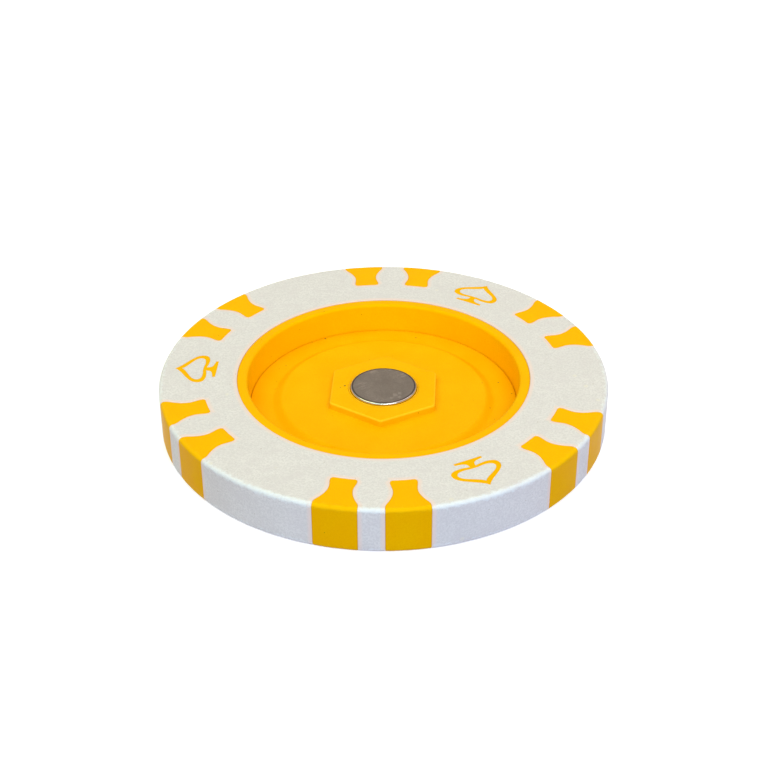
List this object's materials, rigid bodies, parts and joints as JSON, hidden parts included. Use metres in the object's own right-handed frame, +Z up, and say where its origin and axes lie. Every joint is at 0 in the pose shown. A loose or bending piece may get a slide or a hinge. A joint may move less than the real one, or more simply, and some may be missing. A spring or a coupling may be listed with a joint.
{
  "type": "dealer button",
  "caption": "Round two-colour table button with edge spots, spade pips and an open magnetic recess for a marker disc.",
  "frame": {"origin": "centre of the underside, on the surface that the button rests on", "axes": "+Z up through the open recess; +X square to one flat of the hexagonal boss, midway between a pair of edge spots at 30 degrees on one side and one at -30 degrees on the other"},
  "size_m": [0.04, 0.04, 0.0043],
  "materials": {
    "white_plastic": "fine matte moulded grain, warm white",
    "yellow_core_plastic": "satin moulded, saturated yellow",
    "yellow_floor_plastic": "fine matte moulded grain, saturated yellow",
    "nickel_plate": "satin nickel plate with fine scratches",
    "set_adhesive": "glossy clear amber, set"
  },
  "bodies": {
    "root": {"white_rim": "white_plastic", "yellow_core": "yellow_core_plastic", "floor_disc": "yellow_floor_plastic", "disc_magnet": "nickel_plate", "magnet_adhesive": "set_adhesive"}
  },
  "joints": []
}
